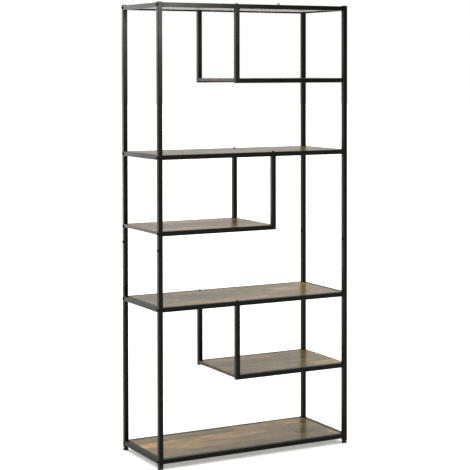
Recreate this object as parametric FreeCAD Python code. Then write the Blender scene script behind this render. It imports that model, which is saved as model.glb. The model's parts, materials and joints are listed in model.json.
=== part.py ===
import FreeCAD, Part
import os

# A tall open bookcase: a bolted frame of square steel tube, four full-width boards and
# three part-width boards, each part-width board hung at its inner end from the rail above.
# Millimetres. +X is the right side, -Y the front, +Z up. The origin is on the floor,
# under the middle of the frame.

# ---- driving dimensions ----
WIDTH = 855.0            # across the corner posts
DEPTH = 345.0            # front to back across the corner posts
TUBE = 18.0              # side of the square tube
WALL = 1.2               # tube wall
TUBE_RADIUS = 1.5        # outer corner radius of the tube
TOP_LEVEL = 1797.0       # top face of the top rails and of the top board
LEVEL_PITCH = 293.0      # from one level to the next
HANGER_X = 82.0          # centre of the hanging posts, left or right of the middle
BOARD_THICKNESS = 12.0
BOARD_GAP = 1.5          # between a board and the tubes around it

POST_BOTTOM = 12.0       # lower end of the corner posts
SEAM_Z = 828.0           # where the lower and upper halves of the posts meet
SEAM_CHAMFER = 0.5
SPIGOT_SIDE = 15.2
SPIGOT_WALL = 2.5
SPIGOT_REACH = 45.0      # into each half of the post
SPLICE_BOLT_RISE = 17.5  # splice bolt above the seam

BOLT_RADIUS = 3.0        # M6
BOLT_HOLE_RADIUS = 3.25
THREAD_RADIUS = 3.05     # tapped hole for the M6 bolt, threads left out
BOLT_LENGTH = 30.0
SPLICE_BOLT_LENGTH = 16.0
HEAD_RADIUS = 5.25
HEAD_HEIGHT = 3.3
HEAD_FLAT_RADIUS = 3.0
SOCKET_ACROSS_FLATS = 4.0
SOCKET_DEPTH = 2.0
END_NUT_SIDE = 15.2
END_NUT_LENGTH = 14.0

CAP_DOME = 3.0
CAP_PLUG_LENGTH = 5.0
CAP_PLUG_SIDE = 15.2

INSERT_FLANGE = 1.5
INSERT_LENGTH = 13.0
INSERT_SIDE = 15.2
FOOT_GAP = 0.3           # between the pad and the insert when screwed fully in
PAD_RADIUS = 11.0
PAD_BASE_HEIGHT = 7.5
PAD_EDGE_RADIUS = 1.6
PAD_COLLAR_ACROSS_FLATS = 15.0
STUD_BOTTOM = 3.5
STUD_TOP = 26.0
STUD_FIT = 0.02          # moulded fit of the stud in the pad

TAB_LENGTH = 30.0
TAB_DEPTH = 16.0
TAB_THICKNESS = 2.0
TAB_CORNER = 4.0
SCREW_RADIUS = 2.0
SCREW_LENGTH = 12.0
SCREW_HEAD_RADIUS = 4.0
SCREW_HEAD_HEIGHT = 2.2
SCREW_SLOT_WIDTH = 1.0
SCREW_SLOT_REACH = 2.4
SCREW_SLOT_DEPTH = 1.2
PILOT_RADIUS = 2.05
TAB_HOLE_RADIUS = 2.3
SCREW_FROM_RAIL = 9.0    # screw centre from the rail's inner face

BRACKET_X = 300.0        # wall brackets left and right of the middle
BRACKET_WIDTH = 15.0
BRACKET_THICKNESS = 1.6
BRACKET_RISE = 26.0
BRACKET_FOOT_DEPTH = 16.0
BRACKET_HOLE_RISE = 17.0
WALL_HOLE_RADIUS = 2.5

# ---- places worked out from the driving dimensions ----
HALF = TUBE / 2
POST_X = WIDTH / 2 - HALF
POST_Y = DEPTH / 2 - HALF
INNER_X = POST_X - HALF
INNER_Y = POST_Y - HALF
LEVELS = [TOP_LEVEL - i * LEVEL_PITCH for i in range(7)]
LEVEL_NAMES = ["top"] + ["shelf_%d" % i for i in range(1, 7)]
FULL_LEVELS = [0, 2, 4, 6]
# part-width level -> the side of its corner posts: +1 right, -1 left
PART_LEVELS = {1: 1, 3: -1, 5: 1}
SIDES = {"left": -1, "right": 1}
FACES = {"front": -1, "back": 1}
TAB_X_FULL = [-320.0, 0.0, 320.0]
TAB_FROM_PART_ENDS = [110.0, 400.0]   # tab centres from the post end of a part-width board

X_AXIS = FreeCAD.Vector(1, 0, 0)
Y_AXIS = FreeCAD.Vector(0, 1, 0)
Z_AXIS = FreeCAD.Vector(0, 0, 1)
CLEAR = 1.0              # how far cutting tools run past a face


def vec(x, y, z):
    return FreeCAD.Vector(x, y, z)


# ---- shapes ----
def rounded_square(side, radius, z=0.0):
    """Closed wire of a square with rounded corners, centred on the Z axis."""
    half = side / 2
    inner = half - radius
    diagonal = radius * 2 ** -0.5
    edges = []
    for turn in range(4):
        spin = FreeCAD.Rotation(Z_AXIS, 90.0 * turn)
        low = spin.multVec(vec(half, -inner, 0)) + Z_AXIS * z
        high = spin.multVec(vec(half, inner, 0)) + Z_AXIS * z
        middle = spin.multVec(vec(inner + diagonal, inner + diagonal, 0)) + Z_AXIS * z
        after = spin.multVec(vec(inner, half, 0)) + Z_AXIS * z
        edges.append(Part.LineSegment(low, high).toShape())
        edges.append(Part.Arc(high, middle, after).toShape())
    return Part.Wire(edges)


def square_bar(side, radius, length):
    """Solid square bar with rounded long edges, from the origin up the Z axis."""
    return Part.Face(rounded_square(side, radius)).extrude(Z_AXIS * length)


def hexagon_bar(across_flats, length):
    """Hexagonal prism from the origin up the Z axis."""
    corner = vec(across_flats / 3 ** 0.5, 0, 0)
    points = [FreeCAD.Rotation(Z_AXIS, 60.0 * i).multVec(corner) for i in range(7)]
    return Part.Face(Part.makePolygon(points)).extrude(Z_AXIS * length)


def aim(shape, start, direction):
    """Moves a shape made along +Z so that it starts at a point and runs along a direction."""
    placed = shape.copy()
    placed.Placement = FreeCAD.Placement(start, FreeCAD.Rotation(Z_AXIS, direction))
    return placed


def tube(start, end):
    """Square tube between two points that differ along one axis."""
    run = end - start
    outer = square_bar(TUBE, TUBE_RADIUS, run.Length)
    bore = square_bar(TUBE - 2 * WALL, TUBE_RADIUS - WALL, run.Length + 2 * CLEAR)
    bore.translate(vec(0, 0, -CLEAR))
    return aim(outer.cut(bore), start, run.normalize())


def box_between(low, high):
    size = high - low
    return Part.makeBox(size.x, size.y, size.z, low)


def hole(radius, start, end):
    run = end - start
    return Part.makeCylinder(radius, run.Length, start, run)


def cut_all(shape, tools):
    return shape.cut(tools) if tools else shape


# ---- corner posts ----
def levels_on_side(side):
    """Levels whose rails are bolted to the posts of one side."""
    part_width = [level for level, post_side in PART_LEVELS.items() if post_side == side]
    return sorted(FULL_LEVELS + part_width)


def rail_z(level):
    return LEVELS[level] - HALF


def post_holes(side, face, low, high):
    """Bolt holes through both walls, at the rails that meet this length of post."""
    x, y = side * POST_X, face * POST_Y
    holes = []
    for level in levels_on_side(side):
        z = rail_z(level)
        if low < z < high:
            holes.append(hole(BOLT_HOLE_RADIUS, vec(x - TUBE, y, z), vec(x + TUBE, y, z)))
    return holes


def splice_z():
    return SEAM_Z + SPLICE_BOLT_RISE


def seam_chamfer(post, seam):
    edges = [e for e in post.Edges if all(abs(v.Z - seam) < 1e-6 for v in e.Vertexes)]
    outer = [e for e in edges if e.BoundBox.DiagonalLength > 0 and on_outer_wall(e, post)]
    return post.makeChamfer(SEAM_CHAMFER, outer)


def on_outer_wall(edge, post):
    """True where an end edge belongs to the outside of the tube."""
    middle = post.BoundBox.Center
    point = edge.CenterOfMass
    reach = max(abs(point.x - middle.x), abs(point.y - middle.y))
    return reach > HALF - WALL / 2


def lower_post(side, face):
    x, y = side * POST_X, face * POST_Y
    post = tube(vec(x, y, POST_BOTTOM), vec(x, y, SEAM_Z))
    post = cut_all(post, post_holes(side, face, POST_BOTTOM, SEAM_Z))
    return seam_chamfer(post, SEAM_Z)


def upper_post(side, face):
    x, y = side * POST_X, face * POST_Y
    post = tube(vec(x, y, SEAM_Z), vec(x, y, TOP_LEVEL))
    splice = hole(BOLT_HOLE_RADIUS, vec(x, y, splice_z()), vec(x - TUBE, y, splice_z()))
    post = cut_all(post, post_holes(side, face, SEAM_Z, TOP_LEVEL) + [splice])
    return seam_chamfer(post, SEAM_Z)


def splice_spigot(side, face):
    """Square sleeve inside the post, across the seam, tapped for the splice bolt."""
    x, y = side * POST_X, face * POST_Y
    length = 2 * SPIGOT_REACH
    sleeve = square_bar(SPIGOT_SIDE, WALL / 2, length)
    bore = square_bar(SPIGOT_SIDE - 2 * SPIGOT_WALL, WALL / 4, length + 2 * CLEAR)
    bore.translate(vec(0, 0, -CLEAR))
    sleeve = aim(sleeve.cut(bore), vec(x, y, SEAM_Z - SPIGOT_REACH), Z_AXIS)
    return sleeve.cut(hole(THREAD_RADIUS, vec(x - TUBE, y, splice_z()), vec(x + TUBE, y, splice_z())))


def post_top_cap(side, face):
    """Domed plastic cap with a short square plug in the open top of the post."""
    x, y = side * POST_X, face * POST_Y
    dome = square_bar(TUBE, TUBE_RADIUS, CAP_DOME)
    rim = [e for e in dome.Edges if all(abs(v.Z - CAP_DOME) < 1e-6 for v in e.Vertexes)]
    dome = dome.makeFillet(CAP_DOME * 0.45, rim)
    plug = square_bar(CAP_PLUG_SIDE, WALL / 2, CAP_PLUG_LENGTH)
    plug.translate(vec(0, 0, -CAP_PLUG_LENGTH))
    return aim(dome.fuse(plug).removeSplitter(), vec(x, y, TOP_LEVEL), Z_AXIS)


# ---- rails ----
def side_rail(side, level):
    z = rail_z(level)
    return tube(vec(side * POST_X, -INNER_Y, z), vec(side * POST_X, INNER_Y, z))


def hangers_below(level):
    """X of the hanging posts bolted under a full-width rail."""
    below = level + 1
    return [-PART_LEVELS[below] * HANGER_X] if below in PART_LEVELS else []


def long_rail(face, level):
    """Full-width rail along X, drilled for the hanging posts and, at the top back, the brackets."""
    y, z = face * POST_Y, rail_z(level)
    rail = tube(vec(-INNER_X, y, z), vec(INNER_X, y, z))
    holes = []
    for x in hangers_below(level):
        holes.append(hole(BOLT_HOLE_RADIUS, vec(x, y, z - TUBE), vec(x, y, z + TUBE)))
    if level == 0 and face == FACES["back"]:
        for side in SIDES.values():
            x = side * BRACKET_X
            holes.append(hole(PILOT_RADIUS, vec(x, y, z), vec(x, y, z + TUBE)))
    return cut_all(rail, holes)


def mitre_tool(level, corner_side, keep_rail):
    """Prism on one side of the 45 degree cut where a part-width rail meets its hanging post."""
    top, bottom = LEVELS[level], LEVELS[level] - TUBE
    inner = corner_side * (HANGER_X - HALF)
    outer = corner_side * (HANGER_X + HALF)
    high = vec(inner - corner_side * CLEAR, 0, top + CLEAR)
    low = vec(outer + corner_side * CLEAR, 0, bottom - CLEAR)
    corner = vec(low.x, 0, high.z) if keep_rail else vec(high.x, 0, low.z)
    face = Part.Face(Part.makePolygon([high, low, corner, high]))
    prism = face.extrude(Y_AXIS * 2 * DEPTH)
    prism.translate(vec(0, -DEPTH, 0))
    return prism


def part_rail(face, level):
    """Part-width rail from a corner post to the mitred corner under its hanging post."""
    side = PART_LEVELS[level]
    y, z = face * POST_Y, rail_z(level)
    rail = tube(vec(side * INNER_X, y, z), vec(-side * (HANGER_X + HALF), y, z))
    return rail.cut(mitre_tool(level, -side, keep_rail=True))


def hanger(face, level):
    """Hanging post from the underside of the rail above to the mitred corner."""
    side = PART_LEVELS[level]
    x, y = -side * HANGER_X, face * POST_Y
    post = tube(vec(x, y, LEVELS[level] - TUBE), vec(x, y, LEVELS[level - 1] - TUBE))
    return post.cut(mitre_tool(level, -side, keep_rail=False))


# ---- fasteners ----
def button_bolt(length):
    """Button-head bolt with a hexagon socket. The head's underside is at the origin, head up."""
    shank = Part.makeCylinder(BOLT_RADIUS, length, vec(0, 0, -length))
    tip = shank.Edges[0] if shank.Edges[0].BoundBox.ZMax < -length / 2 else shank.Edges[2]
    shank = shank.makeChamfer(BOLT_RADIUS / 6, [tip])
    rim = vec(HEAD_RADIUS, 0, 0)
    crown = vec(HEAD_FLAT_RADIUS, 0, HEAD_HEIGHT)
    shoulder = vec(HEAD_RADIUS - 0.55, 0, HEAD_HEIGHT * 0.6)
    outline = [
        Part.LineSegment(vec(0, 0, 0), rim).toShape(),
        Part.Arc(rim, shoulder, crown).toShape(),
        Part.LineSegment(crown, vec(0, 0, HEAD_HEIGHT)).toShape(),
        Part.LineSegment(vec(0, 0, HEAD_HEIGHT), vec(0, 0, 0)).toShape(),
    ]
    head = Part.Face(Part.Wire(outline)).revolve(vec(0, 0, 0), Z_AXIS, 360)
    socket = hexagon_bar(SOCKET_ACROSS_FLATS, SOCKET_DEPTH + CLEAR)
    socket.translate(vec(0, 0, HEAD_HEIGHT - SOCKET_DEPTH))
    return head.cut(socket).fuse(shank)


def end_nut():
    """Square steel block with a tapped hole, which fills the end of a tube."""
    block = square_bar(END_NUT_SIDE, WALL / 2, END_NUT_LENGTH)
    return block.cut(hole(THREAD_RADIUS, vec(0, 0, -CLEAR), vec(0, 0, END_NUT_LENGTH + CLEAR)))


def rail_ends():
    """Every rail end that is bolted to a corner post: side, face, level."""
    return [(side, face, level)
            for side in SIDES.values()
            for face in FACES.values()
            for level in levels_on_side(side)]


def hanger_tops():
    """Every hanging post: its X, face and the level that it carries."""
    return [(-side * HANGER_X, face, level)
            for level, side in PART_LEVELS.items()
            for face in FACES.values()]


def frame_bolts():
    bolt = button_bolt(BOLT_LENGTH)
    bolts = []
    for side, face, level in rail_ends():
        start = vec(side * WIDTH / 2, face * POST_Y, rail_z(level))
        bolts.append(aim(bolt, start, X_AXIS * side))
    for x, face, level in hanger_tops():
        bolts.append(aim(bolt, vec(x, face * POST_Y, LEVELS[level - 1]), Z_AXIS))
    return bolts


def tube_end_nuts():
    nut = end_nut()
    nuts = []
    for side, face, level in rail_ends():
        start = vec(side * INNER_X, face * POST_Y, rail_z(level))
        nuts.append(aim(nut, start, X_AXIS * -side))
    for x, face, level in hanger_tops():
        nuts.append(aim(nut, vec(x, face * POST_Y, LEVELS[level - 1] - TUBE), Z_AXIS * -1))
    return nuts


def splice_bolts():
    """All four heads are on the left faces of the posts, also on the right side."""
    bolt = button_bolt(SPLICE_BOLT_LENGTH)
    return [aim(bolt, vec(side * POST_X - HALF, face * POST_Y, splice_z()), X_AXIS * -1)
            for side in SIDES.values() for face in FACES.values()]


def pan_screw():
    """Pan-head screw with a cross recess. The head's underside is at the origin, head up."""
    shank = Part.makeCylinder(SCREW_RADIUS, SCREW_LENGTH - SCREW_RADIUS, vec(0, 0, SCREW_RADIUS - SCREW_LENGTH))
    point = Part.makeCone(SCREW_RADIUS / 4, SCREW_RADIUS, SCREW_RADIUS, vec(0, 0, -SCREW_LENGTH))
    head = Part.makeCylinder(SCREW_HEAD_RADIUS, SCREW_HEAD_HEIGHT)
    rim = [e for e in head.Edges if e.BoundBox.ZMin > SCREW_HEAD_HEIGHT / 2]
    head = head.makeFillet(SCREW_HEAD_HEIGHT / 2, rim)
    low = vec(-SCREW_SLOT_REACH, -SCREW_SLOT_WIDTH / 2, SCREW_HEAD_HEIGHT - SCREW_SLOT_DEPTH)
    high = vec(SCREW_SLOT_REACH, SCREW_SLOT_WIDTH / 2, SCREW_HEAD_HEIGHT + CLEAR)
    slot = box_between(low, high)
    across = slot.copy()
    across.rotate(vec(0, 0, 0), Z_AXIS, 90)
    return head.cut([slot, across]).fuse([shank, point]).removeSplitter()


# ---- boards, their tabs and screws ----
def board_span(level):
    """Low and high X of a board. A part-width board ends flush with the tubes' outer faces."""
    if level in FULL_LEVELS:
        return -INNER_X + BOARD_GAP, INNER_X - BOARD_GAP
    side = PART_LEVELS[level]
    ends = [side * WIDTH / 2, -side * (HANGER_X + HALF)]
    return min(ends), max(ends)


def tab_places(level):
    """X of the tabs on each of the two rails that carry a board."""
    if level in FULL_LEVELS:
        return TAB_X_FULL
    side = PART_LEVELS[level]
    return [side * (WIDTH / 2 - reach) for reach in TAB_FROM_PART_ENDS]


def screw_places(level):
    return [vec(x, face * (INNER_Y - SCREW_FROM_RAIL), LEVELS[level] - BOARD_THICKNESS)
            for x in tab_places(level) for face in FACES.values()]


def board(level):
    low_x, high_x = board_span(level)
    reach = INNER_Y - BOARD_GAP
    top = LEVELS[level]
    panel = box_between(vec(low_x, -reach, top - BOARD_THICKNESS), vec(high_x, reach, top))
    depth = SCREW_LENGTH - TAB_THICKNESS + CLEAR / 2
    pilots = [hole(PILOT_RADIUS, place - Z_AXIS * CLEAR, place + Z_AXIS * depth)
              for place in screw_places(level)]
    return panel.cut(pilots)


def board_tab(place, face):
    """Welded plate on the inner face of a rail, under the edge of a board, with a screw hole."""
    inner = place.y + face * SCREW_FROM_RAIL
    outline = [
        vec(place.x - TAB_LENGTH / 2, inner, 0),
        vec(place.x - TAB_LENGTH / 2, inner - face * (TAB_DEPTH - TAB_CORNER), 0),
        vec(place.x - TAB_LENGTH / 2 + TAB_CORNER, inner - face * TAB_DEPTH, 0),
        vec(place.x + TAB_LENGTH / 2 - TAB_CORNER, inner - face * TAB_DEPTH, 0),
        vec(place.x + TAB_LENGTH / 2, inner - face * (TAB_DEPTH - TAB_CORNER), 0),
        vec(place.x + TAB_LENGTH / 2, inner, 0),
    ]
    plate = Part.Face(Part.makePolygon(outline + outline[:1])).extrude(Z_AXIS * TAB_THICKNESS)
    plate.translate(vec(0, 0, place.z - TAB_THICKNESS))
    drill = hole(TAB_HOLE_RADIUS, place - Z_AXIS * TUBE, place + Z_AXIS * CLEAR)
    return plate.cut(drill)


def board_tabs():
    tabs = []
    for level in range(len(LEVELS)):
        for place in screw_places(level):
            tabs.append(board_tab(place, FACES["front"] if place.y < 0 else FACES["back"]))
    return tabs


def short_screws():
    """The screws under the boards and the two that hold the wall brackets: one kind."""
    screw = pan_screw()
    screws = []
    for level in range(len(LEVELS)):
        for place in screw_places(level):
            screws.append(aim(screw, place - Z_AXIS * TAB_THICKNESS, Z_AXIS * -1))
    for side in SIDES.values():
        start = vec(side * BRACKET_X, POST_Y, TOP_LEVEL + BRACKET_THICKNESS)
        screws.append(aim(screw, start, Z_AXIS))
    return screws


# ---- wall brackets ----
def wall_bracket(side):
    """Small angle on top of the top back rail, with a hole for a screw into the wall."""
    x = side * BRACKET_X
    half = BRACKET_WIDTH / 2
    back = DEPTH / 2
    foot = box_between(vec(x - half, back - BRACKET_FOOT_DEPTH, TOP_LEVEL),
                       vec(x + half, back, TOP_LEVEL + BRACKET_THICKNESS))
    riser = box_between(vec(x - half, back - BRACKET_THICKNESS, TOP_LEVEL),
                        vec(x + half, back, TOP_LEVEL + BRACKET_RISE))
    corners = [e for e in riser.Edges
               if e.BoundBox.ZMin > TOP_LEVEL + BRACKET_RISE - CLEAR and e.BoundBox.XLength < CLEAR]
    riser = riser.makeFillet(BRACKET_WIDTH / 4, corners)
    z = TOP_LEVEL + BRACKET_HOLE_RISE
    wall_hole = hole(WALL_HOLE_RADIUS, vec(x, back - TUBE, z), vec(x, back + TUBE, z))
    rail_hole = hole(TAB_HOLE_RADIUS, vec(x, POST_Y, TOP_LEVEL - CLEAR), vec(x, POST_Y, TOP_LEVEL + TUBE))
    return foot.fuse(riser).removeSplitter().cut([wall_hole, rail_hole])


# ---- levelling feet ----
def foot_insert(side, face):
    """Plastic insert in the bottom of a post, with a flange under the tube and a tapped hole."""
    x, y = side * POST_X, face * POST_Y
    plug = square_bar(INSERT_SIDE, WALL / 2, INSERT_LENGTH)
    flange = square_bar(TUBE, TUBE_RADIUS, INSERT_FLANGE)
    flange.translate(vec(0, 0, -INSERT_FLANGE))
    bore = hole(THREAD_RADIUS, vec(0, 0, -TUBE), vec(0, 0, TUBE))
    return aim(plug.fuse(flange).removeSplitter().cut(bore), vec(x, y, POST_BOTTOM), Z_AXIS)


def foot_pad(side, face):
    """Round plastic pad with a hexagonal collar for the fingers or a spanner."""
    x, y = side * POST_X, face * POST_Y
    top = POST_BOTTOM - INSERT_FLANGE - FOOT_GAP
    base = Part.makeCylinder(PAD_RADIUS, PAD_BASE_HEIGHT)
    base = base.makeFillet(PAD_EDGE_RADIUS, [e for e in base.Edges if e.BoundBox.ZMax < 1e-6])
    upper = [e for e in base.Edges if e.BoundBox.ZMin > PAD_BASE_HEIGHT - 1e-6]
    base = base.makeChamfer(PAD_EDGE_RADIUS / 2, upper)
    collar = hexagon_bar(PAD_COLLAR_ACROSS_FLATS, top - PAD_BASE_HEIGHT)
    collar.translate(vec(0, 0, PAD_BASE_HEIGHT))
    socket = hole(BOLT_RADIUS + STUD_FIT, vec(0, 0, STUD_BOTTOM), vec(0, 0, POST_BOTTOM))
    return aim(base.fuse(collar).removeSplitter().cut(socket), vec(x, y, 0), Z_AXIS)


def foot_stud(side, face):
    x, y = side * POST_X, face * POST_Y
    stud = Part.makeCylinder(BOLT_RADIUS, STUD_TOP - STUD_BOTTOM)
    ends = [e for e in stud.Edges if e.BoundBox.ZLength < 1e-6]
    stud = stud.makeChamfer(BOLT_RADIUS / 6, ends)
    return aim(stud, vec(x, y, STUD_BOTTOM), Z_AXIS)


# ---- assembly ----
def corner_groups():
    """Every corner post: its name, side and face."""
    return [("%s_%s" % (face_name, side_name), side, face)
            for face_name, face in FACES.items()
            for side_name, side in SIDES.items()]


def nodes():
    parts = {}
    for name, side, face in corner_groups():
        parts["post_%s_upper" % name] = upper_post(side, face)
        parts["post_%s_lower" % name] = lower_post(side, face)
        parts["foot_pad_%s" % name] = foot_pad(side, face)
        parts["foot_stud_%s" % name] = foot_stud(side, face)
    for level in FULL_LEVELS:
        for side_name, side in SIDES.items():
            parts["side_rail_%s_%s" % (side_name, LEVEL_NAMES[level])] = side_rail(side, level)
        for face_name, face in FACES.items():
            parts["long_rail_%s_%s" % (face_name, LEVEL_NAMES[level])] = long_rail(face, level)
    for level in PART_LEVELS:
        for face_name, face in FACES.items():
            parts["part_rail_%s_%s" % (face_name, LEVEL_NAMES[level])] = part_rail(face, level)
            parts["hanging_post_%s_%s" % (face_name, LEVEL_NAMES[level])] = hanger(face, level)
    for level, name in enumerate(LEVEL_NAMES):
        parts["board_%s" % name] = board(level)
    corners = [(side, face) for _, side, face in corner_groups()]
    parts["post_top_caps"] = Part.makeCompound([post_top_cap(*corner) for corner in corners])
    parts["post_splice_spigots"] = Part.makeCompound([splice_spigot(*corner) for corner in corners])
    parts["post_splice_bolts"] = Part.makeCompound(splice_bolts())
    parts["foot_inserts"] = Part.makeCompound([foot_insert(*corner) for corner in corners])
    parts["frame_bolts"] = Part.makeCompound(frame_bolts())
    parts["tube_end_nuts"] = Part.makeCompound(tube_end_nuts())
    parts["board_tabs"] = Part.makeCompound(board_tabs())
    parts["short_screws"] = Part.makeCompound(short_screws())
    parts["wall_brackets"] = Part.makeCompound([wall_bracket(side) for side in SIDES.values()])
    return parts


def main():
    os.makedirs("parts", exist_ok=True)
    for name, shape in nodes().items():
        shape.exportStep("parts/%s.step" % name)


main()
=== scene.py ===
import json
import math

import bmesh
import bpy
from mathutils import Matrix, Vector

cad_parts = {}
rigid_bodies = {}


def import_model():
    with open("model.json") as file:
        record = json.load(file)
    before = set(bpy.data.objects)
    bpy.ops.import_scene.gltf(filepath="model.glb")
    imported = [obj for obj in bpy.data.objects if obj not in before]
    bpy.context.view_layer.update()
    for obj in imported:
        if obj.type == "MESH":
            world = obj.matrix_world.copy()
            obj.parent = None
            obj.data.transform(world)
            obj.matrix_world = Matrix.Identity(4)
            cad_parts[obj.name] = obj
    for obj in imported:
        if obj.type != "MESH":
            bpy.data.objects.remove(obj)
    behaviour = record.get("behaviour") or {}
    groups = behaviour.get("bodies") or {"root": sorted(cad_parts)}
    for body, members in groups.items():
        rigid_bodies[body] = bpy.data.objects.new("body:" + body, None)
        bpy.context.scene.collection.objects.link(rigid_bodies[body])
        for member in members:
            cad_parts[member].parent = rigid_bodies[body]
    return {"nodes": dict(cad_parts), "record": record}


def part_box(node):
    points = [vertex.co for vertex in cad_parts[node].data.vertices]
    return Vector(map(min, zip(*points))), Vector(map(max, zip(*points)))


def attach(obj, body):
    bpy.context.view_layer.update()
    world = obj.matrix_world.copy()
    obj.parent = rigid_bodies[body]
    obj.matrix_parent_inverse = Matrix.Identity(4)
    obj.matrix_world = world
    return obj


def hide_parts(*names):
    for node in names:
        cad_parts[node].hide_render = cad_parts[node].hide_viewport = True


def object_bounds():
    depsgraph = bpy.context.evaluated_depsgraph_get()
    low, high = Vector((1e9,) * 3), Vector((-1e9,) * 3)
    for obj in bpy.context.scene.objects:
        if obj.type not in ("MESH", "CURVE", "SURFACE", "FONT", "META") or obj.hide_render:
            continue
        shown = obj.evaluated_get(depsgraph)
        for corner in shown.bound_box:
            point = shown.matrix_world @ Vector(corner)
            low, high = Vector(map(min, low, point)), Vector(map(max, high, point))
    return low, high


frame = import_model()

# The looks of a tall open bookcase: powder-coated square tube, wood-look boards with edge
# bands, weld beads and threaded feet. Lengths are in metres and colours are linear RGB.
# Places come from the CAD frame.

MM = 0.001
cad_low, cad_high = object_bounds()
X, Y, Z = Vector((1, 0, 0)), Vector((0, 1, 0)), Vector((0, 0, 1))
ROOT = "frame"
SIDES = ("left", "right")
FACES = ("front", "back")
HANGING_LEVELS = ("shelf_1", "shelf_3", "shelf_5")
MERGE_DISTANCE = 0.001 * MM

# ---- board construction ----
BAND_THICKNESS = 0.6 * MM
BOARD_EDGE_RADIUS = 0.5 * MM
BAND_EDGE_RADIUS = 0.25 * MM
EDGE_SEGMENTS = 3
UP_OR_DOWN = 0.4  # a face whose normal rises or falls more is the top or the underside

# ---- printed planks and knots ----
PLANK_WIDTH = 78 * MM
PLANK_LENGTH = 300 * MM
PLANK_SEED = 5.0
PLANK_SHIFT = 5.0  # the most that a row is shifted along, in planks
PLANK_JUMP = 4.0  # the most that a plank's own pattern is moved, in metres
LEVELS_PER_METRE = 10.0  # height steps, so that each board has planks of its own
KNOTS_PER_METRE = (5.5, 17, 0.6)  # along X, Y and Z
KNOT_BEND = 16 * MM
KNOT_RINGS = 95.0  # how closely the rings lie

# ---- weld beads ----
FRAME_BEAD = 2.0 * MM
TAB_BEAD = 1.2 * MM
BEAD_STEP = 1.1 * MM
BEAD_LEAST_STEPS = 6
BEAD_END_GAP = 2.0 * MM
BEAD_ARC_POINTS = 6
BEAD_THROAT = 0.80  # reach halfway round the bead, as a part of its leg
BEAD_RIPPLE = 0.10
BEAD_END_SIZE = 0.55
BEAD_SWELL = 3.0  # how fast the bead grows to full size from its end

# ---- ground weld seams ----
SEAM_WIDTH = 1.6 * MM
SEAM_HEIGHT = 0.12 * MM
SEAM_STEPS = 14
SEAM_WAVER = 0.06
SEAM_WAVE_STEP = 2.4
SEAM_SHOULDER = 0.8
SEAM_END_RISE = 0.3

# ---- foot stud thread, M6 ----
THREAD_PITCH = 1.0 * MM
THREAD_DEPTH = 0.55 * MM
THREAD_STEEPNESS = 1.25  # over 1 leaves a flat at the root
THREAD_SIDES = 28
THREAD_ROWS_PER_TURN = 8

# ---- colours ----
COAT_DARK, COAT_LIGHT = (0.0020, 0.0022, 0.0004), (0.0044, 0.0047, 0.0014)
COAT_SPECK = (0.018, 0.018, 0.013)
COAT_RUBBED = (0.050, 0.048, 0.042)
WOOD_TONES = [
    (0.22, (0.100, 0.062, 0.016)),
    (0.42, (0.172, 0.108, 0.027)),
    (0.56, (0.268, 0.167, 0.040)),
    (0.70, (0.425, 0.255, 0.074)),
    (0.86, (0.660, 0.384, 0.144)),
]
WOOD_GREYED = (0.178, 0.147, 0.043)
WOOD_GRAIN = (0.045, 0.030, 0.014)
WOOD_PORE = (0.030, 0.021, 0.015)
WOOD_SAW_MARK = (0.250, 0.205, 0.155)
WOOD_JOINT = (0.025, 0.017, 0.012)
KNOT_RING = (0.050, 0.031, 0.019)
KNOT_HEART = (0.022, 0.013, 0.008)
BAND_TONES = [
    (0.3, (0.055, 0.034, 0.016)),
    (0.5, (0.095, 0.062, 0.030)),
    (0.7, (0.160, 0.100, 0.050)),
]
BAND_GRAIN = (0.040, 0.026, 0.018)
BACKING_DARK, BACKING_LIGHT = (0.270, 0.260, 0.232), (0.340, 0.328, 0.298)
BACKING_FIBRE = (0.190, 0.174, 0.148)
CHIP_TONES = [(0.0, (0.16, 0.10, 0.055)), (0.5, (0.33, 0.23, 0.14)), (1.0, (0.52, 0.40, 0.27))]
CHIP_DUST = (0.11, 0.07, 0.04)
PLASTIC_DARK, PLASTIC_LIGHT = (0.009, 0.009, 0.009), (0.016, 0.016, 0.015)
PLASTIC_SCUFF = (0.07, 0.07, 0.066)
BRACKET_DARK, BRACKET_LIGHT = (0.72, 0.72, 0.69), (0.82, 0.82, 0.79)
BRACKET_WORN = (0.38, 0.38, 0.38)
BOLT_DARK, BOLT_LIGHT = (0.0015, 0.0015, 0.0015), (0.004, 0.004, 0.004)
ZINC_DARK, ZINC_LIGHT = (0.42, 0.43, 0.45), (0.56, 0.56, 0.56)
METAL_SCRATCH, METAL_RUBBED = 1.8, 2.2  # times the metal's light colour
FLOOR_DARK, FLOOR_LIGHT = (0.90, 0.90, 0.89), (0.93, 0.93, 0.92)
WHITE = (1, 1, 1, 1)

# ---- camera ----
CAMERA_PLACE = Vector((-2.7624, -5.1344, 1.5375))
CAMERA_YAW = math.radians(-28.26)
CAMERA_PITCH = math.radians(88.548)
CAMERA_ROLL = math.radians(-0.09)
CAMERA_LENS = 109.92
CAMERA_SHIFT_Y = -0.2736
CAMERA_REACH = 200.0

# ---- studio light, relative to the white backdrop ----
BACKDROP_DIRECTION = (0.473, 0.881, 0.0)
BACKDROP_GLOW = 1.0
FRONT_GLOW = 0.0
BACK_GLOW = 0.74
TOP_GLOW = 2.6
TOP_GLOW_POWER = 2.0  # how strongly the top glow gathers overhead
FLOOR_GLOW = 0.28
FLOOR_RADIUS = 60.0
FLOOR_SIDES = 96


# ================= materials =================
def by_identifier(sockets, identifier):
    """The socket with an identifier, on a node such as Mix where several share a name."""
    return next(socket for socket in sockets if socket.identifier == identifier)


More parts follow.
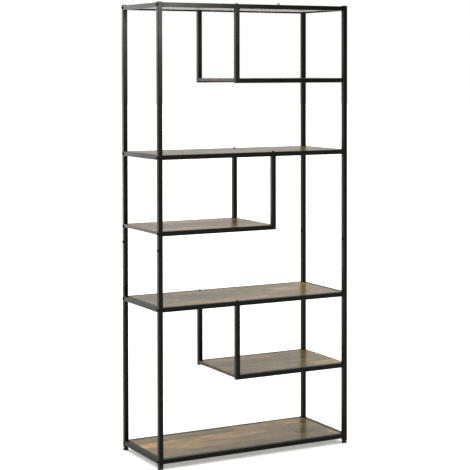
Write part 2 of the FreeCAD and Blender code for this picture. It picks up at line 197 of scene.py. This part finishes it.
class Surface:
    """A Principled material with short calls for the nodes that feed it."""

    def __init__(self, name, **sockets):
        self.material = bpy.data.materials.new(name)
        self.material.use_nodes = True
        self.nodes = self.material.node_tree.nodes
        self.links = self.material.node_tree.links
        self.shader = self.nodes["Principled BSDF"]
        for socket, value in sockets.items():
            self.shader.inputs[socket.replace("_", " ")].default_value = value
        self.place = self.nodes.new("ShaderNodeTexCoord").outputs["Object"]

    def feed(self, socket, value):
        """Link a socket to another one, or set its value."""
        if isinstance(value, bpy.types.NodeSocket):
            self.links.new(value, socket)
        else:
            socket.default_value = value

    def math(self, operation, *values):
        node = self.nodes.new("ShaderNodeMath")
        node.operation = operation
        for socket, value in zip(node.inputs, values):
            self.feed(socket, value)
        return node.outputs[0]

    def vector(self, operation, *values):
        node = self.nodes.new("ShaderNodeVectorMath")
        node.operation = operation
        for socket, value in zip(node.inputs, values):
            self.feed(socket, value)
        return node.outputs["Vector"]

    def split(self, vector):
        node = self.nodes.new("ShaderNodeSeparateXYZ")
        self.feed(node.inputs[0], vector)
        return node.outputs

    def join(self, x, y, z):
        node = self.nodes.new("ShaderNodeCombineXYZ")
        for socket, value in zip(node.inputs, (x, y, z)):
            self.feed(socket, value)
        return node.outputs[0]

    def noise(self, scale, detail=3.0, rough=0.5, stretch=(1, 1, 1), place=None, twist=0.0):
        """Noise with about scale times stretch features per metre along X, Y and Z."""
        node = self.nodes.new("ShaderNodeTexNoise")
        self.feed(node.inputs["Vector"], self.vector("MULTIPLY", place or self.place, stretch))
        node.inputs["Scale"].default_value = scale
        node.inputs["Detail"].default_value = detail
        node.inputs["Roughness"].default_value = rough
        node.inputs["Distortion"].default_value = twist
        return node.outputs[0]

    def cells(self, scale, stretch=(1, 1, 1), place=None):
        """Cells with about scale times stretch centres per metre along X, Y and Z."""
        node = self.nodes.new("ShaderNodeTexVoronoi")
        self.feed(node.inputs["Vector"], self.vector("MULTIPLY", place or self.place, stretch))
        node.inputs["Scale"].default_value = scale
        return node.outputs

    def random(self, vector):
        node = self.nodes.new("ShaderNodeTexWhiteNoise")
        self.feed(node.inputs["Vector"], vector)
        return node.outputs

    def spread(self, value, low, high, to_low=0.0, to_high=1.0):
        """Smooth step from to_low, where the value is low, to to_high, where it is high."""
        node = self.nodes.new("ShaderNodeMapRange")
        node.interpolation_type = "SMOOTHSTEP"
        for socket, item in zip(node.inputs, (value, low, high, to_low, to_high)):
            self.feed(socket, item)
        return node.outputs[0]

    def ramp(self, value, stops):
        node = self.nodes.new("ShaderNodeValToRGB")
        elements = node.color_ramp.elements
        while len(elements) < len(stops):
            elements.new(0.5)
        for element, (position, colour) in zip(elements, stops):
            element.position = position
            element.color = (*colour, 1)
        self.feed(node.inputs[0], value)
        return node.outputs[0]

    def mix(self, amount, first, second):
        node = self.nodes.new("ShaderNodeMix")
        node.data_type = "RGBA"
        for name, value in (("Factor_Float", amount), ("A_Color", first), ("B_Color", second)):
            socket = by_identifier(node.inputs, name)
            self.feed(socket, (*value, 1) if isinstance(value, tuple) else value)
        return by_identifier(node.outputs, "Result_Color")

    def stain(self, colour, tint, mask, *reach):
        """Mix a tint over a colour by the amount that spread gives for the mask."""
        return self.mix(self.spread(mask, *reach), colour, tint)

    def bump(self, height, strength, depth, under=None):
        node = self.nodes.new("ShaderNodeBump")
        node.inputs["Strength"].default_value = strength
        node.inputs["Distance"].default_value = depth
        self.feed(node.inputs["Height"], height)
        if under:
            self.feed(node.inputs["Normal"], under)
        return node.outputs[0]

    def corner_mask(self):
        """1 on rounded edges, 0 on faces square to X, Y or Z."""
        normal = self.nodes.new("ShaderNodeNewGeometry").outputs["Normal"]
        x, y, z = self.split(self.vector("ABSOLUTE", normal))
        flat = self.math("MAXIMUM", self.math("MAXIMUM", x, y), z)
        return self.spread(flat, 0.985, 0.80)

    def finish(self, colour, roughness, normal=None):
        self.feed(self.shader.inputs["Base Color"], colour)
        self.feed(self.shader.inputs["Roughness"], roughness)
        if normal:
            self.feed(self.shader.inputs["Normal"], normal)
        return self.material


def powder_coat():
    """Near-black satin powder coat: orange peel, faint blotches, specks and rubbed edges."""
    s = Surface("powder_coat", Specular_IOR_Level=0.09)
    blotch = s.noise(9, 4, 0.6)
    speck = s.noise(420, 2, 0.6)
    peel = s.noise(650, 2, 0.5)
    rubbed = s.math("MULTIPLY", s.corner_mask(), s.spread(s.noise(70, 4, 0.7), 0.45, 0.7))
    colour = s.mix(blotch, COAT_DARK, COAT_LIGHT)
    colour = s.stain(colour, COAT_SPECK, speck, 0.58, 0.75, 0, 0.30)
    colour = s.mix(s.math("MULTIPLY", rubbed, 0.4), colour, COAT_RUBBED)
    rough = s.spread(blotch, 0.3, 0.7, 0.28, 0.36)
    rough = s.math("ADD", rough, s.math("MULTIPLY", speck, 0.06))
    rough = s.math("SUBTRACT", rough, s.math("MULTIPLY", rubbed, 0.1))
    relief = s.bump(blotch, 0.06, 0.5 * MM)
    return s.finish(colour, rough, s.bump(peel, 0.10, 0.08 * MM, relief))


def plank_layout(s):
    """Random value and colour for each printed plank, and how near a point is to a joint."""
    x, y, z = s.split(s.place)
    level = s.math("FLOOR", s.math("MULTIPLY", z, LEVELS_PER_METRE))
    across = s.math("DIVIDE", y, PLANK_WIDTH)
    row = s.math("FLOOR", across)
    shift = s.random(s.join(row, level, PLANK_SEED))["Value"]
    shift = s.math("MULTIPLY", shift, PLANK_SHIFT)
    along = s.math("ADD", s.math("DIVIDE", x, PLANK_LENGTH), shift)
    plank = s.random(s.join(row, s.math("FLOOR", along), s.math("ADD", level, PLANK_SEED)))
    to_side = s.math("MULTIPLY", s.math("PINGPONG", across, 0.5), PLANK_WIDTH)
    to_end = s.math("MULTIPLY", s.math("PINGPONG", along, 0.5), PLANK_LENGTH)
    return plank["Value"], plank["Color"], s.math("MINIMUM", to_side, to_end)


def board_decor():
    """Printed rustic wood: planks of differing tone, stretched grain, knots and saw marks."""
    s = Surface("board_decor", Specular_IOR_Level=0.15)
    tone, shade, joint = plank_layout(s)
    place = s.vector("ADD", s.place, s.vector("MULTIPLY", shade, (PLANK_JUMP,) * 3))
    knot = s.cells(1, KNOTS_PER_METRE, place)["Distance"]
    swirl = s.math("MULTIPLY", s.spread(knot, 0.32, 0.02), KNOT_BEND)
    bent = s.vector("ADD", place, s.join(0.0, swirl, 0.0))
    patch = s.noise(1, 4, 0.55, (7, 26, 7), bent, 0.6)
    grain = s.noise(1, 7, 0.65, (14, 190, 14), bent, 0.4)
    pores = s.noise(1, 3, 0.5, (60, 1500, 60), bent)
    saw = s.noise(1, 2, 0.5, (420, 9, 9), place)
    greyed = s.noise(1, 3, 0.5, (5, 14, 5), bent)
    mood = s.math("ADD", s.math("MULTIPLY", tone, 0.42), s.math("MULTIPLY", patch, 0.62))
    colour = s.ramp(mood, WOOD_TONES)
    colour = s.stain(colour, WOOD_GREYED, greyed, 0.5, 0.68, 0, 0.75)
    colour = s.stain(colour, WOOD_GRAIN, grain, 0.40, 0.62, 0.62, 0.0)
    colour = s.stain(colour, WOOD_PORE, pores, 0.55, 0.72, 0, 0.35)
    colour = s.stain(colour, WOOD_SAW_MARK, saw, 0.56, 0.70, 0, 0.22)
    rings = s.spread(s.math("SINE", s.math("MULTIPLY", knot, KNOT_RINGS)), -0.2, 0.9)
    ringed = s.math("MULTIPLY", rings, s.spread(knot, 0.17, 0.06, 0, 0.55))
    colour = s.mix(ringed, colour, KNOT_RING)
    colour = s.stain(colour, KNOT_HEART, knot, 0.060, 0.025, 0, 0.85)
    colour = s.stain(colour, WOOD_JOINT, joint, 0.9 * MM, 0.2 * MM, 0, 0.7)
    rough = s.spread(grain, 0.3, 0.7, 0.27, 0.19)
    rough = s.math("ADD", rough, s.math("MULTIPLY", pores, 0.06))
    relief = s.bump(grain, 0.10, 0.25 * MM, s.bump(pores, 0.10, 0.08 * MM))
    groove = s.spread(joint, 0, 0.7 * MM)
    return s.finish(colour, rough, s.bump(groove, 0.3, 0.1 * MM, relief))


def edge_band():
    """Printed edge band: darker wood, with its grain running along the edge."""
    s = Surface("edge_band", Specular_IOR_Level=0.12)
    grain = s.noise(1, 6, 0.65, (60, 16, 420), twist=0.5)
    colour = s.ramp(s.noise(1, 3, 0.5, (20, 11, 30)), BAND_TONES)
    colour = s.stain(colour, BAND_GRAIN, grain, 0.42, 0.62, 0.7, 0.0)
    return s.finish(colour, s.spread(grain, 0.3, 0.7, 0.48, 0.38), s.bump(grain, 0.12, 0.1 * MM))


def board_backing():
    """Grey-beige balancing paper on the underside: faint fibres and cloudiness."""
    s = Surface("board_backing", Specular_IOR_Level=0.3)
    fibre = s.noise(1, 5, 0.7, (90, 600, 90), twist=0.8)
    colour = s.mix(s.noise(14, 4, 0.6), BACKING_DARK, BACKING_LIGHT)
    colour = s.stain(colour, BACKING_FIBRE, fibre, 0.55, 0.75, 0, 0.35)
    return s.finish(colour, s.spread(fibre, 0.3, 0.7, 0.5, 0.62), s.bump(fibre, 0.12, 0.08 * MM))


def particle_core():
    """Raw particle board on the long edges behind the rails: chips of several browns."""
    s = Surface("particle_core", Specular_IOR_Level=0.2)
    chip = s.cells(420, (1, 1, 2.2))
    tone = s.split(chip["Color"])[0]
    colour = s.ramp(tone, CHIP_TONES)
    colour = s.stain(colour, CHIP_DUST, s.noise(1600, 3, 0.6), 0.5, 0.7, 0, 0.5)
    relief = s.bump(chip["Distance"], 0.5, 0.3 * MM)
    return s.finish(colour, s.spread(tone, 0, 1, 0.75, 0.9), relief)


def metal(name, dark, light, rough_low, rough_high, metallic=1.0, specular=0.5):
    """Fastener metal: clouded plating, fine turning marks and rubbed edges."""
    s = Surface(name, Metallic=metallic, Specular_IOR_Level=specular)
    cloud = s.noise(160, 4, 0.6)
    marks = s.noise(1, 3, 0.6, (2600, 2600, 300))
    colour = s.mix(cloud, dark, light)
    colour = s.stain(colour, tuple(c * METAL_SCRATCH for c in light), marks, 0.55, 0.75, 0, 0.25)
    rubbed = s.math("MULTIPLY", s.corner_mask(), s.spread(cloud, 0.4, 0.65, 0, 0.5))
    colour = s.mix(rubbed, colour, tuple(c * METAL_RUBBED for c in light))
    rough = s.spread(cloud, 0.3, 0.7, rough_low, rough_high)
    return s.finish(colour, rough, s.bump(marks, 0.1, 0.03 * MM))


def moulded_plastic():
    """Black moulded plastic: fine spark-eroded grain and scuffed corners."""
    s = Surface("moulded_plastic", Specular_IOR_Level=0.35)
    grain = s.noise(2200, 2, 0.6)
    scuff = s.spread(s.noise(90, 5, 0.7), 0.52, 0.7)
    scuffed = s.math("MULTIPLY", s.math("MULTIPLY", scuff, s.corner_mask()), 0.7)
    colour = s.mix(s.noise(40, 3), PLASTIC_DARK, PLASTIC_LIGHT)
    colour = s.mix(scuffed, colour, PLASTIC_SCUFF)
    rough = s.spread(grain, 0.3, 0.7, 0.5, 0.64)
    rough = s.math("SUBTRACT", rough, s.math("MULTIPLY", scuff, 0.08))
    return s.finish(colour, rough, s.bump(grain, 0.25, 0.05 * MM))


def bracket_paint():
    """Off-white paint on the small wall brackets, thin and worn at the bends."""
    s = Surface("bracket_paint", Specular_IOR_Level=0.45)
    cloud = s.noise(120, 4, 0.6)
    chipped = s.spread(s.noise(260, 4, 0.7), 0.5, 0.66, 0, 0.7)
    colour = s.mix(cloud, BRACKET_DARK, BRACKET_LIGHT)
    colour = s.mix(s.math("MULTIPLY", s.corner_mask(), chipped), colour, BRACKET_WORN)
    rough = s.spread(cloud, 0.3, 0.7, 0.32, 0.45)
    return s.finish(colour, rough, s.bump(s.noise(700, 2), 0.2, 0.08 * MM))


def floor_paper():
    """Off-white studio paper with a weak glow of its own, which thins the shadow."""
    s = Surface("floor_paper", Specular_IOR_Level=0.1,
                Emission_Color=WHITE, Emission_Strength=FLOOR_GLOW)
    tone = s.noise(0.8, 3, 0.5)
    return s.finish(s.mix(tone, FLOOR_DARK, FLOOR_LIGHT), s.spread(tone, 0.3, 0.7, 0.85, 0.95))


COAT = powder_coat()
DECOR = board_decor()
BAND = edge_band()
BACKING = board_backing()
CORE = particle_core()
ZINC = metal("zinc_plate", ZINC_DARK, ZINC_LIGHT, 0.25, 0.42)
BY_SLOT = {
    "frame_paint": COAT,
    "board_laminate": DECOR,
    "fastener_steel": metal("blackened_steel", BOLT_DARK, BOLT_LIGHT, 0.5, 0.6,
                            metallic=0.0, specular=0.04),
    "zinc_steel": ZINC,
    "black_plastic": moulded_plastic(),
    "pale_bracket": bracket_paint(),
}


# ================= pieces =================
def add_piece(name, mesh, body, materials):
    """Put a mesh in the scene as a piece that rides on a body."""
    piece = bpy.data.objects.new(name, mesh)
    bpy.context.scene.collection.objects.link(piece)
    for material in materials:
        mesh.materials.append(material)
    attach(piece, body)
    return piece


def close_mesh(shape, name):
    """Turn a bmesh into a mesh and free it."""
    mesh = bpy.data.meshes.new(name)
    shape.to_mesh(mesh)
    shape.free()
    return mesh


def bridge(shape, rings):
    """Join each ring of points to the next one, and return the new faces."""
    count = len(rings[0])
    return [shape.faces.new((near[i], near[(i + 1) % count], far[(i + 1) % count], far[i]))
            for near, far in zip(rings, rings[1:]) for i in range(count)]


def block_mesh(name, low, high, edge_radius):
    """Block with rounded edges. Faces: material 0 on top, 1 below, 2 on the sides."""
    shape = bmesh.new()
    bmesh.ops.create_cube(shape, size=1.0)
    middle, size = (low + high) / 2, high - low
    for vertex in shape.verts:
        vertex.co = Vector(middle[i] + vertex.co[i] * size[i] for i in range(3))
    bmesh.ops.bevel(shape, geom=shape.edges[:], offset=edge_radius, segments=EDGE_SEGMENTS,
                    profile=0.5, affect="EDGES")
    shape.normal_update()
    largest_rounding = 4 * edge_radius * max(size)
    for face in shape.faces:
        up = face.normal.z
        face.material_index = 0 if up > UP_OR_DOWN else 1 if up < -UP_OR_DOWN else 2
        face.smooth = face.calc_area() < largest_rounding
    return close_mesh(shape, name)


def make_board(node):
    """Board with a banded edge at each end, printed top and papered underside."""
    low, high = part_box(node)
    inset = X * BAND_THICKNESS
    panel = block_mesh(node + "_panel", low + inset, high - inset, BOARD_EDGE_RADIUS)
    piece = add_piece(node + "_panel", panel, ROOT, [DECOR, BACKING, CORE])
    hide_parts(node)
    left_end = Vector((low.x + BAND_THICKNESS, high.y, high.z))
    right_start = Vector((high.x - BAND_THICKNESS, low.y, low.z))
    for side, start, end in (("left", low, left_end), ("right", right_start, high)):
        name = "%s_edge_band_%s" % (node, side)
        band = block_mesh(name, start, end, BAND_EDGE_RADIUS)
        add_piece(name, band, ROOT, [BAND, BAND, BAND])


def add_bead(shape, start, end, first, second, size):
    """Rippled fillet weld along a corner, between the two face directions given."""
    run = end - start
    steps = max(BEAD_LEAST_STEPS, round(run.length / BEAD_STEP))
    rings = []
    for step in range(steps + 1):
        part = step / steps
        taper = min(1.0, BEAD_END_SIZE + BEAD_SWELL * min(part, 1 - part))
        leg = size * taper * (1 + BEAD_RIPPLE * math.cos(step * math.pi))
        centre = start + run * part
        ring = []
        for turn in range(BEAD_ARC_POINTS):
            angle = math.pi / 2 * turn / (BEAD_ARC_POINTS - 1)
            reach = leg * (BEAD_THROAT + (1 - BEAD_THROAT) * abs(math.cos(2 * angle)))
            ring.append(centre + (first * math.cos(angle) + second * math.sin(angle)) * reach)
        ring.append(centre)
        rings.append([shape.verts.new(point) for point in ring])
    bridge(shape, rings)
    shape.faces.new(rings[0])
    shape.faces.new(rings[-1][::-1])


def add_seam(shape, start, end, out, across):
    """Low, ground-down weld seam on a face."""
    rings = []
    for step in range(SEAM_STEPS + 1):
        half = across * (SEAM_WIDTH * (0.5 + SEAM_WAVER * math.sin(step * SEAM_WAVE_STEP)))
        centre = start + (end - start) * (step / SEAM_STEPS)
        rise = out * SEAM_HEIGHT * (1.0 if 0 < step < SEAM_STEPS else SEAM_END_RISE)
        shoulder = rise * SEAM_SHOULDER
        points = [centre - half, centre - half * 0.5 + shoulder, centre + rise,
                  centre + half * 0.5 + shoulder, centre + half]
        rings.append([shape.verts.new(point) for point in points])
    bridge(shape, rings)
    shape.faces.new(rings[0])
    shape.faces.new(rings[-1][::-1])


def finish_welds(shape, name):
    """Make one coated piece of all the welds in a shape."""
    bmesh.ops.recalc_face_normals(shape, faces=shape.faces[:])
    for face in shape.faces:
        face.smooth = True
    add_piece(name, close_mesh(shape, name), ROOT, [COAT])


def weld_side_frames(side):
    """Beads above and below each side rail, at both corner posts. The top has none above."""
    shape = bmesh.new()
    rails = [n for n in frame["nodes"] if n.startswith("side_rail_%s" % side)]
    for rail in sorted(rails):
        low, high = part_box(rail)
        left, right = low.x + BEAD_END_GAP, high.x - BEAD_END_GAP
        for y, inward in ((low.y, Y), (high.y, -Y)):
            for z, away in ((high.z, Z), (low.z, -Z)):
                if away is Z and rail.endswith("top"):
                    continue
                start, end = Vector((left, y, z)), Vector((right, y, z))
                add_bead(shape, start, end, away, inward, FRAME_BEAD)
    finish_welds(shape, "weld_beads_%s_side_frame" % side)


def weld_hanging_corner(face, level):
    """The mitred corner of a hanging post and its rail: one inside bead and two face seams."""
    shape = bmesh.new()
    post_low, post_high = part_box("hanging_post_%s_%s" % (face, level))
    rail_low, rail_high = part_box("part_rail_%s_%s" % (face, level))
    rail_side = 1 if rail_high.x > post_high.x + MM else -1
    inner_x = post_high.x if rail_side > 0 else post_low.x
    outer_x = post_low.x if rail_side > 0 else post_high.x
    near, far = post_low.y + BEAD_END_GAP, post_high.y - BEAD_END_GAP
    add_bead(shape, Vector((inner_x, near, rail_high.z)), Vector((inner_x, far, rail_high.z)),
             X * rail_side, Z, FRAME_BEAD)
    across = Vector((rail_side, 0, -1)).normalized()
    for y, out in ((post_low.y, -Y), (post_high.y, Y)):
        inner, outer = Vector((inner_x, y, rail_high.z)), Vector((outer_x, y, rail_low.z))
        add_seam(shape, inner, outer, out, across)
    finish_welds(shape, "weld_seams_%s_%s" % (face, level))


def islands(node):
    """The boxes of the separate solids of a CAD node that is a group."""
    shape = bmesh.new()
    shape.from_mesh(frame["nodes"][node].data)
    bmesh.ops.remove_doubles(shape, verts=shape.verts[:], dist=MERGE_DISTANCE)
    seen, boxes = set(), []
    for first in shape.verts:
        if first in seen:
            continue
        stack, points = [first], []
        seen.add(first)
        while stack:
            vertex = stack.pop()
            points.append(vertex.co.copy())
            for edge in vertex.link_edges:
                other = edge.other_vert(vertex)
                if other not in seen:
                    seen.add(other)
                    stack.append(other)
        low = Vector(min(p[i] for p in points) for i in range(3))
        high = Vector(max(p[i] for p in points) for i in range(3))
        boxes.append((low, high))
    shape.free()
    return boxes


def weld_tabs():
    """One bead under each board tab, where it meets the rail."""
    shape = bmesh.new()
    gap = X * BEAD_END_GAP
    for low, high in islands("board_tabs"):
        y, inward = (low.y, Y) if low.y < 0 else (high.y, -Y)
        start, end = Vector((low.x, y, low.z)) + gap, Vector((high.x, y, low.z)) - gap
        add_bead(shape, start, end, -Z, inward, TAB_BEAD)
    finish_welds(shape, "weld_beads_board_tabs")


def make_stud(corner):
    """Threaded stud in place of the plain one, the same length and outside radius."""
    node = "foot_stud_%s" % corner
    low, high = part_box(node)
    axis = Vector(((low.x + high.x) / 2, (low.y + high.y) / 2, 0))
    outside = (high.x - low.x) / 2
    length = high.z - low.z
    rows = round(length / THREAD_PITCH * THREAD_ROWS_PER_TURN)
    shape = bmesh.new()
    rings = []
    for row in range(rows + 1):
        z = length * row / rows
        chamfer = THREAD_DEPTH * max(0.0, 1 - min(z, length - z) / THREAD_PITCH)
        ring = []
        for side in range(THREAD_SIDES):
            turn = side / THREAD_SIDES
            phase = (z / THREAD_PITCH - turn) % 1.0
            groove = THREAD_DEPTH * min(1.0, abs(2 * phase - 1) * THREAD_STEEPNESS)
            radius = outside - max(groove, chamfer)
            angle = 2 * math.pi * turn
            offset = Vector((math.cos(angle), math.sin(angle), 0)) * radius
            ring.append(shape.verts.new(axis + offset + Z * (low.z + z)))
        rings.append(ring)
    for face in bridge(shape, rings):
        face.smooth = True
    shape.faces.new(rings[0][::-1])
    shape.faces.new(rings[-1])
    mesh = close_mesh(shape, node + "_thread")
    piece = add_piece(node + "_thread", mesh, "foot_%s" % corner, [ZINC])
    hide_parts(node)


def dress_cad_nodes():
    """Give each CAD piece the material of its slot."""
    for entry in frame["record"]["subparts"]:
        node = frame["nodes"][entry["node"]]
        for slot in node.material_slots:
            slot.material = BY_SLOT[entry["material_slot"]]


def make_pieces():
    dress_cad_nodes()
    for node in sorted(n for n in frame["nodes"] if n.startswith("board_") and n != "board_tabs"):
        make_board(node)
    for side in SIDES:
        weld_side_frames(side)
        for face in FACES:
            make_stud("%s_%s" % (face, side))
    for level in HANGING_LEVELS:
        for face in FACES:
            weld_hanging_corner(face, level)
    weld_tabs()


# ================= studio =================
def make_floor():
    shape = bmesh.new()
    bmesh.ops.create_circle(shape, cap_ends=True, radius=FLOOR_RADIUS, segments=FLOOR_SIDES)
    mesh = close_mesh(shape, "studio_floor")
    floor = bpy.data.objects.new("studio_floor", mesh)
    floor.location.z = cad_low.z
    bpy.context.scene.collection.objects.link(floor)
    mesh.materials.append(floor_paper())


def make_world():
    """Sky that lights from above and behind, and that the camera sees as plain white."""
    world = bpy.data.worlds.new("studio_world")
    world.use_nodes = True
    nodes, links = world.node_tree.nodes, world.node_tree.links

    def remap(value, **ends):
        node = nodes.new("ShaderNodeMapRange")
        links.new(value, node.inputs["Value"])
        for end, setting in ends.items():
            node.inputs[end.replace("_", " ")].default_value = setting
        return node

    direction = nodes.new("ShaderNodeTexCoord").outputs["Generated"]
    behind = nodes.new("ShaderNodeVectorMath")
    behind.operation = "DOT_PRODUCT"
    behind.inputs[1].default_value = BACKDROP_DIRECTION
    links.new(direction, behind.inputs[0])
    low_glow = remap(behind.outputs["Value"], From_Min=-1, From_Max=1,
                     To_Min=FRONT_GLOW, To_Max=BACK_GLOW)

    height = nodes.new("ShaderNodeSeparateXYZ")
    links.new(direction, height.inputs["Vector"])
    overhead = nodes.new("ShaderNodeMath")
    overhead.operation = "POWER"
    overhead.use_clamp = True
    overhead.inputs[1].default_value = TOP_GLOW_POWER
    links.new(height.outputs["Z"], overhead.inputs[0])
    glow = remap(overhead.outputs["Value"], From_Min=0, From_Max=1, To_Max=TOP_GLOW)
    links.new(low_glow.outputs["Result"], glow.inputs["To Min"])

    seen = nodes.new("ShaderNodeMix")
    to_camera = nodes.new("ShaderNodeLightPath").outputs["Is Camera Ray"]
    links.new(to_camera, by_identifier(seen.inputs, "Factor_Float"))
    links.new(glow.outputs["Result"], by_identifier(seen.inputs, "A_Float"))
    by_identifier(seen.inputs, "B_Float").default_value = BACKDROP_GLOW
    sky = nodes["Background"]
    sky.inputs["Color"].default_value = WHITE
    links.new(by_identifier(seen.outputs, "Result_Float"), sky.inputs["Strength"])
    bpy.context.scene.world = world


def softbox(name, place, target, width, height, power, spread):
    """Gridded area light aimed at a target. Power in watts, the grid's spread in degrees."""
    light = bpy.data.lights.new(name, "AREA")
    light.shape = "RECTANGLE"
    light.size = width
    light.size_y = height
    light.energy = power
    light.spread = math.radians(spread)
    lamp = bpy.data.objects.new(name, light)
    lamp.location = place
    lamp.rotation_euler = (Vector(target) - Vector(place)).to_track_quat("-Z", "Y").to_euler()
    lamp.visible_camera = False
    bpy.context.scene.collection.objects.link(lamp)
    return lamp


def keep_off_boards(lamp):
    """Leave the boards out of a light that their gloss would show as a white patch."""
    group = bpy.data.collections.new(lamp.name + "_keeps_off")
    for piece in bpy.context.scene.objects:
        if piece.name.endswith("_panel") or "_edge_band_" in piece.name:
            group.objects.link(piece)
    for member in group.collection_objects:
        member.light_linking.link_state = "EXCLUDE"
    lamp.light_linking.receiver_collection = group


def make_lights():
    softbox("softbox_back_left", place=(-0.90, 1.30, 2.0), target=(-0.50, 0.45, 1.9),
            width=0.5, height=0.6, power=0.3, spread=60)
    softbox("panel_back_left", place=(-0.82, 1.6, 1.45), target=(-0.60, 0.0, 1.35),
            width=0.5, height=2.2, power=6.5, spread=110)
    front = softbox("softbox_front_right", place=(0.10, -1.4, 2.05), target=(-0.6, -0.1, 1.9),
                    width=0.45, height=0.6, power=6, spread=66)
    keep_off_boards(front)


def make_camera():
    data = bpy.data.cameras.new("photo_camera")
    data.lens = CAMERA_LENS
    data.shift_y = CAMERA_SHIFT_Y
    data.clip_end = CAMERA_REACH
    camera = bpy.data.objects.new("photo_camera", data)
    camera.location = CAMERA_PLACE
    turn = Matrix.Rotation(CAMERA_YAW, 3, "Z") @ Matrix.Rotation(CAMERA_PITCH, 3, "X")
    camera.rotation_euler = (turn @ Matrix.Rotation(CAMERA_ROLL, 3, "Z")).to_euler()
    bpy.context.scene.collection.objects.link(camera)
    bpy.context.scene.camera = camera


make_pieces()
make_floor()
make_world()
make_lights()
make_camera()
bpy.context.scene.view_settings.view_transform = "Standard"
